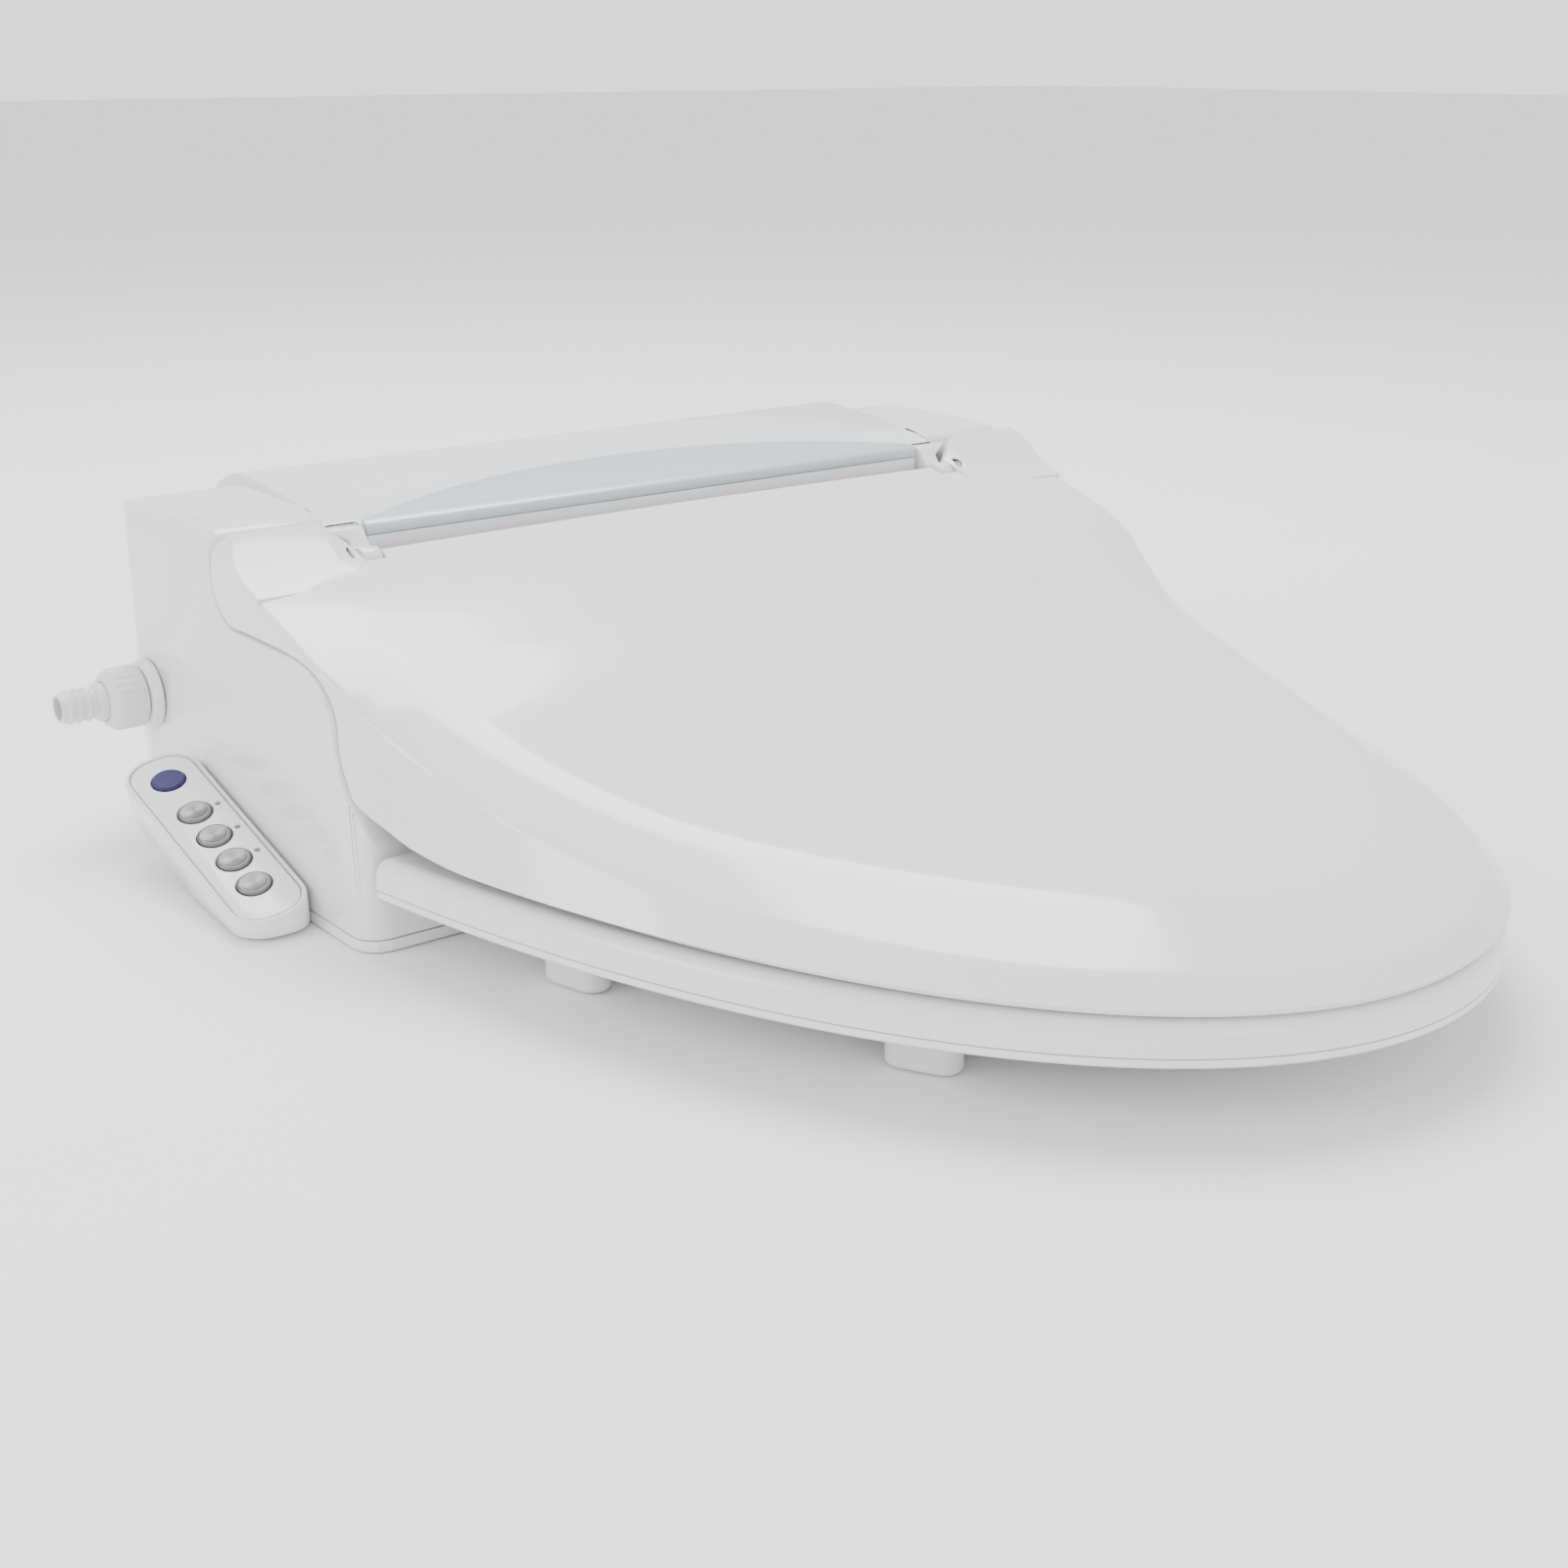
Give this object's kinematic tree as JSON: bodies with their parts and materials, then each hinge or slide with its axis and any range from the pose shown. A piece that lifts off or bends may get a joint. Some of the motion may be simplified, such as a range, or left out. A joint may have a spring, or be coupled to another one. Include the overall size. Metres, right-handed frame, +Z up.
{
  "type": "electric bidet seat",
  "caption": "Electric bidet seat with a low swept lid on a rear housing, a heated seat ring, a side pod of push buttons, sliding wash wands, a water inlet and a warm-air dryer.",
  "frame": {"origin": "On the plane of the toilet rim, midway between the two mounting bolts, at the centre of the mounting bracket's underside.", "axes": "+Z up; -Y towards the seat's tip, away from the wall; +X towards the sitting user's left, so the control pod and water inlet are at -X."},
  "size_m": [0.43, 0.5098, 0.1367],
  "materials": {
    "white_gloss": "gloss",
    "pale_plastic": "matte",
    "silver_paint": "satin",
    "steel": "brushed",
    "indigo_plastic": "gloss",
    "clear_lens": "gloss",
    "soft_rubber": "matte",
    "dark_plastic": "matte",
    "circuit_board": "satin",
    "heating_foil": "satin"
  },
  "bodies": {
    "housing": {"housing_cover": "white_gloss", "base_plate": "white_gloss", "case_screw_front_left": "steel", "case_screw_front_right": "steel", "case_screw_rear_left": "steel", "case_screw_rear_right": "steel", "mounting_bracket": "pale_plastic", "silver_trim_plate": "silver_paint", "hinge_strip": "white_gloss", "hinge_pin_left": "steel", "hinge_pin_right": "steel", "pod_casing": "white_gloss", "pod_panel": "white_gloss", "indicator_lens": "clear_lens", "inlet_pipe": "pale_plastic", "inlet_nut": "pale_plastic", "inlet_collar": "white_gloss", "inlet_filter": "steel", "solenoid_valve": "dark_plastic", "heater_tank": "pale_plastic", "heater_tank_lid": "pale_plastic", "wash_pump": "dark_plastic", "nozzle_guide": "pale_plastic", "nozzle_motor": "dark_plastic", "dryer_scroll": "pale_plastic", "dryer_element": "heating_foil", "fan_motor": "dark_plastic", "control_board": "circuit_board", "cord_gland": "dark_plastic"},
    "seat": {"seat_top": "white_gloss", "seat_base": "white_gloss", "seat_heater": "heating_foil", "seat_bumper_front_left": "soft_rubber", "seat_bumper_front_right": "soft_rubber", "seat_bumper_rear_left": "soft_rubber", "seat_bumper_rear_right": "soft_rubber"},
    "lid": {"lid": "white_gloss", "lid_buffer_left": "soft_rubber", "lid_buffer_right": "soft_rubber", "soft_close_damper_left": "dark_plastic", "soft_close_damper_right": "dark_plastic"},
    "stop_key": {"stop_button": "indigo_plastic"},
    "rear_wash_key": {"rear_wash_button": "steel"},
    "front_wash_key": {"front_wash_button": "steel"},
    "dryer_key": {"dryer_button": "steel"},
    "pressure_key": {"pressure_button": "steel"},
    "rear_wash_wand": {"rear_wash_nozzle": "pale_plastic"},
    "front_wash_wand": {"front_wash_nozzle": "pale_plastic"},
    "fan": {"dryer_fan": "dark_plastic"},
    "dryer_door": {"dryer_flap": "white_gloss"},
    "cartridge": {"deodoriser_cartridge": "pale_plastic"}
  },
  "joints": [
    {"name": "seat_hinge", "type": "hinge", "parent": "housing", "child": "seat", "pos_m": [0, -0.036, 0.1155], "axis": [-1, 0, 0], "range_deg": [0, 100]},
    {"name": "lid_hinge", "type": "hinge", "parent": "seat", "child": "lid", "pos_m": [0, -0.036, 0.1155], "axis": [1, 0, 0], "range_deg": [-108, 0]},
    {"name": "stop_press", "type": "slide", "parent": "housing", "child": "stop_key", "axis": [0.225, 0.2686, -0.9366], "range_m": [0, 0.0008], "stiffness_N_per_m": 300},
    {"name": "rear_wash_press", "type": "slide", "parent": "housing", "child": "rear_wash_key", "axis": [0.225, 0.2686, -0.9366], "range_m": [0, 0.0008], "stiffness_N_per_m": 300},
    {"name": "front_wash_press", "type": "slide", "parent": "housing", "child": "front_wash_key", "axis": [0.225, 0.2686, -0.9366], "range_m": [0, 0.0008], "stiffness_N_per_m": 300},
    {"name": "dryer_press", "type": "slide", "parent": "housing", "child": "dryer_key", "axis": [0.225, 0.2686, -0.9366], "range_m": [0, 0.0008], "stiffness_N_per_m": 300},
    {"name": "pressure_press", "type": "slide", "parent": "housing", "child": "pressure_key", "axis": [0.225, 0.2686, -0.9366], "range_m": [0, 0.0008], "stiffness_N_per_m": 300},
    {"name": "rear_wash_nozzle_slide", "type": "slide", "parent": "housing", "child": "rear_wash_wand", "axis": [0, -0.9272, -0.3746], "range_m": [0, 0.09]},
    {"name": "front_wash_nozzle_slide", "type": "slide", "parent": "housing", "child": "front_wash_wand", "axis": [0, -0.9272, -0.3746], "range_m": [0, 0.09]},
    {"name": "fan_spin", "type": "hinge", "parent": "housing", "child": "fan", "pos_m": [0.098, -0.043, 0.0122], "axis": [0, 0, 1], "continuous": true},
    {"name": "dryer_flap_hinge", "type": "hinge", "parent": "housing", "child": "dryer_door", "pos_m": [0.052, -0.0971, 0.0195], "axis": [-1, 0, 0], "range_deg": [0, 45]},
    {"name": "deodoriser_slide", "type": "slide", "parent": "housing", "child": "cartridge", "axis": [1, 0, 0], "range_m": [0, 0.05]}
  ]
}
